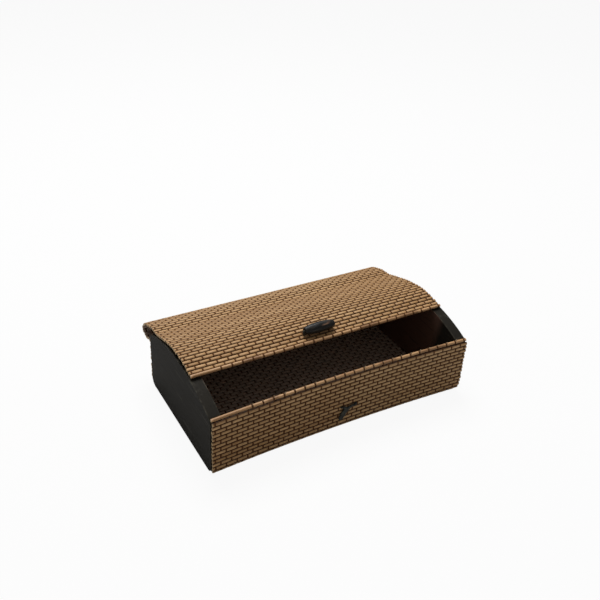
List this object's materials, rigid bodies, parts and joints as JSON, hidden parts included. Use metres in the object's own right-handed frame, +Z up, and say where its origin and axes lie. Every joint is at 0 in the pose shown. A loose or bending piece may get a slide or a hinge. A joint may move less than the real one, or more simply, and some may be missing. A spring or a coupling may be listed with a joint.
{
  "type": "tambour lid box",
  "caption": "Roll-top box with wooden end panels and one woven bamboo stick mat as walls, floor and sliding lid, latched by a bead and a lace loop.",
  "frame": {"origin": "on the resting plane, under the middle of the end panels", "axes": "+X along the sticks to the right end panel, +Y from the front wall to the back wall, +Z up"},
  "size_m": [0.2402, 0.1485, 0.0797],
  "materials": {
    "stained_wood": "black-stained, satin",
    "bamboo": "split bamboo, natural skin",
    "stained_bamboo": "dark brown stain, matt",
    "bamboo_rod": "round rod, satin",
    "warp_thread": "dark brown cotton",
    "leather_lace": "dark green-grey, worn",
    "bead": "dark, waxed"
  },
  "bodies": {
    "box": {"left_end_panel": "stained_wood", "right_end_panel": "stained_wood", "front_wall_sticks": "bamboo", "floor_sticks": "stained_bamboo", "back_wall_sticks": "bamboo", "front_rim_rod": "bamboo_rod", "body_warp_threads": "warp_thread", "latch_lace_ends": "leather_lace"},
    "lid_rear": {"lid_rear_stick": "bamboo", "lid_rear_threads": "warp_thread"},
    "lid_strip_10": {"lid_sticks_10": "bamboo", "lid_threads_10": "warp_thread"},
    "lid_strip_09": {"lid_sticks_09": "bamboo", "lid_threads_09": "warp_thread"},
    "lid_strip_08": {"lid_sticks_08": "bamboo", "lid_threads_08": "warp_thread"},
    "lid_strip_07": {"lid_sticks_07": "bamboo", "lid_threads_07": "warp_thread"},
    "lid_strip_06": {"lid_sticks_06": "bamboo", "lid_threads_06": "warp_thread"},
    "lid_strip_05": {"lid_sticks_05": "bamboo", "lid_threads_05": "warp_thread"},
    "lid_strip_04": {"lid_sticks_04": "bamboo", "lid_threads_04": "warp_thread"},
    "lid_strip_03": {"lid_sticks_03": "bamboo", "lid_threads_03": "warp_thread"},
    "lid_strip_02": {"lid_sticks_02": "bamboo", "lid_threads_02": "warp_thread", "toggle_thong": "leather_lace"},
    "lid_strip_01": {"lid_sticks_01": "bamboo", "lid_threads_01": "warp_thread", "lid_edge_rod": "bamboo_rod"},
    "fold_01": {"fold_stick_01": "bamboo"},
    "fold_02": {"fold_stick_02": "bamboo"},
    "fold_03": {"fold_stick_03": "bamboo"},
    "fold_04": {"fold_stick_04": "bamboo"},
    "fold_05": {"fold_stick_05": "bamboo"},
    "fold_06": {"fold_stick_06": "bamboo"},
    "fold_07": {"fold_stick_07": "bamboo"},
    "fold_08": {"fold_stick_08": "bamboo"},
    "fold_09": {"fold_stick_09": "bamboo"},
    "fold_10": {"fold_stick_10": "bamboo"},
    "fold_11": {"fold_stick_11": "bamboo"},
    "fold_12": {"fold_stick_12": "bamboo"},
    "fold_13": {"fold_stick_13": "bamboo"},
    "fold_14": {"fold_stick_14": "bamboo"},
    "fold_15": {"fold_stick_15": "bamboo"},
    "fold_16": {"fold_stick_16": "bamboo"},
    "fold_17": {"fold_stick_17": "bamboo"},
    "bead": {"toggle_bead": "bead"},
    "loop": {"latch_loop": "leather_lace"}
  },
  "joints": [
    {"name": "lid_slide", "type": "hinge", "parent": "box", "child": "lid_rear", "pos_m": [0, 0, -0.07625], "axis": [1, 0, 0], "range_deg": [0, 13.76]},
    {"name": "fold_turn_01", "type": "hinge", "parent": "box", "child": "fold_01", "pos_m": [0, 0.06375, 0.0444], "axis": [1, 0, 0], "range_deg": [0, 51.4]},
    {"name": "fold_turn_02", "type": "hinge", "parent": "fold_01", "child": "fold_02", "pos_m": [0, 0.06681, 0.04629], "axis": [1, 0, 0], "range_deg": [0, 66.7]},
    {"name": "fold_turn_03", "type": "hinge", "parent": "fold_02", "child": "fold_03", "pos_m": [0, 0.07, 0.04462], "axis": [1, 0, 0], "range_deg": [0, 29.3]},
    {"name": "fold_turn_04", "type": "hinge", "parent": "fold_02", "child": "fold_04", "pos_m": [0, 0.06982, 0.04467], "axis": [1, 0, 0], "range_deg": [0, 27.8]},
    {"name": "fold_turn_05", "type": "hinge", "parent": "fold_02", "child": "fold_05", "pos_m": [0, 0.06319, 0.04497], "axis": [1, 0, 0], "range_deg": [0, 14.5]},
    {"name": "fold_turn_06", "type": "hinge", "parent": "fold_05", "child": "fold_06", "pos_m": [0, 0.08, 0.04412], "axis": [1, 0, 0], "range_deg": [-22.9, 0]},
    {"name": "fold_turn_07", "type": "hinge", "parent": "fold_06", "child": "fold_07", "pos_m": [0, 0.08239, 0.04681], "axis": [1, 0, 0], "range_deg": [-47, 0]},
    {"name": "fold_turn_08", "type": "hinge", "parent": "box", "child": "fold_08", "pos_m": [0, 0.04428, -0.00996], "axis": [1, 0, 0], "range_deg": [0, 27.7]},
    {"name": "fold_turn_09", "type": "hinge", "parent": "box", "child": "fold_09", "pos_m": [0, 0.03216, -0.05401], "axis": [1, 0, 0], "range_deg": [0, 17]},
    {"name": "fold_turn_10", "type": "hinge", "parent": "fold_09", "child": "fold_10", "pos_m": [0, 0.07655, 0.05506], "axis": [1, 0, 0], "range_deg": [-6.5, 0]},
    {"name": "fold_turn_11", "type": "hinge", "parent": "fold_10", "child": "fold_11", "pos_m": [0, 0.07333, 0.05668], "axis": [1, 0, 0], "range_deg": [-5.3, 0]},
    {"name": "fold_turn_12", "type": "hinge", "parent": "fold_15", "child": "fold_12", "pos_m": [0, 0.0605, 0.06049], "axis": [1, 0, 0], "range_deg": [0, 7.1]},
    {"name": "fold_turn_13", "type": "hinge", "parent": "fold_14", "child": "fold_13", "pos_m": [0, 0.06304, 0.05992], "axis": [1, 0, 0], "range_deg": [0, 2.2]},
    {"name": "fold_turn_14", "type": "hinge", "parent": "fold_15", "child": "fold_14", "pos_m": [0, 0.05951, 0.06065], "axis": [1, 0, 0], "range_deg": [0, 5.1]},
    {"name": "fold_turn_15", "type": "hinge", "parent": "fold_16", "child": "fold_15", "pos_m": [0, 0.05593, 0.06099], "axis": [1, 0, 0], "range_deg": [0, 3.2]},
    {"name": "fold_turn_16", "type": "hinge", "parent": "lid_rear", "child": "fold_16", "pos_m": [0, 0.04953, 0.06113], "axis": [1, 0, 0], "range_deg": [-20.8, 0]},
    {"name": "fold_turn_17", "type": "hinge", "parent": "lid_rear", "child": "fold_17", "pos_m": [0, 0.04874, 0.0613], "axis": [1, 0, 0], "range_deg": [-16.2, 0]},
    {"name": "lid_curl_10", "type": "hinge", "parent": "lid_rear", "child": "lid_strip_10", "pos_m": [0, 0.04533, 0.06246], "axis": [-1, 0, 0], "range_deg": [0, 20]},
    {"name": "lid_curl_09", "type": "hinge", "parent": "lid_rear", "child": "lid_strip_09", "pos_m": [0, 0.04208, 0.06413], "axis": [-1, 0, 0], "range_deg": [0, 40]},
    {"name": "lid_curl_08", "type": "hinge", "parent": "lid_rear", "child": "lid_strip_08", "pos_m": [0, 0.03892, 0.06619], "axis": [-1, 0, 0], "range_deg": [0, 60]},
    {"name": "lid_lift", "type": "hinge", "parent": "lid_rear", "child": "lid_strip_07", "pos_m": [0, 0.03585, 0.06865], "axis": [-1, 0, 0], "range_deg": [0, 80]},
    {"name": "lid_curl_06", "type": "hinge", "parent": "lid_strip_07", "child": "lid_strip_06", "pos_m": [0, 0.0174, 0.06989], "axis": [-1, 0, 0], "range_deg": [0, 20]},
    {"name": "lid_curl_05", "type": "hinge", "parent": "lid_strip_07", "child": "lid_strip_05", "pos_m": [0, 0.01389, 0.07107], "axis": [-1, 0, 0], "range_deg": [0, 40]},
    {"name": "lid_curl_04", "type": "hinge", "parent": "lid_strip_07", "child": "lid_strip_04", "pos_m": [0, 0.01038, 0.07254], "axis": [-1, 0, 0], "range_deg": [0, 60]},
    {"name": "lid_curl_03", "type": "hinge", "parent": "lid_strip_07", "child": "lid_strip_03", "pos_m": [0, 0.0068, 0.07431], "axis": [-1, 0, 0], "range_deg": [0, 80]},
    {"name": "lid_curl_02", "type": "hinge", "parent": "lid_strip_03", "child": "lid_strip_02", "pos_m": [0, -0.0116, 0.07048], "axis": [-1, 0, 0], "range_deg": [0, 20]},
    {"name": "lid_curl_01", "type": "hinge", "parent": "lid_strip_03", "child": "lid_strip_01", "pos_m": [0, -0.0153, 0.07025], "axis": [-1, 0, 0], "range_deg": [0, 40]},
    {"name": "bead_roll", "type": "hinge", "parent": "lid_strip_02", "child": "bead", "pos_m": [-0.00231, -0.01654, 0.07522], "axis": [1, 0, 0], "continuous": true},
    {"name": "latch_flip", "type": "hinge", "parent": "box", "child": "loop", "pos_m": [0.00155, -0.0629, 0.02493], "axis": [-0.9927, 0, 0.1203], "range_deg": [0, 165]}
  ],
  "couplings": [
    {"joint": "fold_turn_01", "follows": "lid_slide", "ratio": 3.7314},
    {"joint": "fold_turn_02", "follows": "lid_slide", "ratio": 4.8445},
    {"joint": "fold_turn_03", "follows": "lid_slide", "ratio": 2.125},
    {"joint": "fold_turn_04", "follows": "lid_slide", "ratio": 2.0163},
    {"joint": "fold_turn_05", "follows": "lid_slide", "ratio": 1.0488},
    {"joint": "fold_turn_06", "follows": "lid_slide", "ratio": -1.6584},
    {"joint": "fold_turn_07", "follows": "lid_slide", "ratio": -3.4124},
    {"joint": "fold_turn_08", "follows": "lid_slide", "ratio": 2.011},
    {"joint": "fold_turn_09", "follows": "lid_slide", "ratio": 1.2323},
    {"joint": "fold_turn_10", "follows": "lid_slide", "ratio": -0.47181},
    {"joint": "fold_turn_11", "follows": "lid_slide", "ratio": -0.37909},
    {"joint": "fold_turn_12", "follows": "lid_slide", "ratio": 0.51454},
    {"joint": "fold_turn_13", "follows": "lid_slide", "ratio": 0.15715},
    {"joint": "fold_turn_14", "follows": "lid_slide", "ratio": 0.36424},
    {"joint": "fold_turn_15", "follows": "lid_slide", "ratio": 0.22544},
    {"joint": "fold_turn_16", "follows": "lid_slide", "ratio": -1.5086},
    {"joint": "fold_turn_17", "follows": "lid_slide", "ratio": -1.1723},
    {"joint": "lid_curl_10", "follows": "lid_lift", "ratio": 0.25},
    {"joint": "lid_curl_09", "follows": "lid_lift", "ratio": 0.5},
    {"joint": "lid_curl_08", "follows": "lid_lift", "ratio": 0.75},
    {"joint": "lid_curl_06", "follows": "lid_lift", "ratio": 0.25},
    {"joint": "lid_curl_05", "follows": "lid_lift", "ratio": 0.5},
    {"joint": "lid_curl_04", "follows": "lid_lift", "ratio": 0.75},
    {"joint": "lid_curl_03", "follows": "lid_lift", "ratio": 1},
    {"joint": "lid_curl_02", "follows": "lid_lift", "ratio": 0.25},
    {"joint": "lid_curl_01", "follows": "lid_lift", "ratio": 0.5}
  ]
}
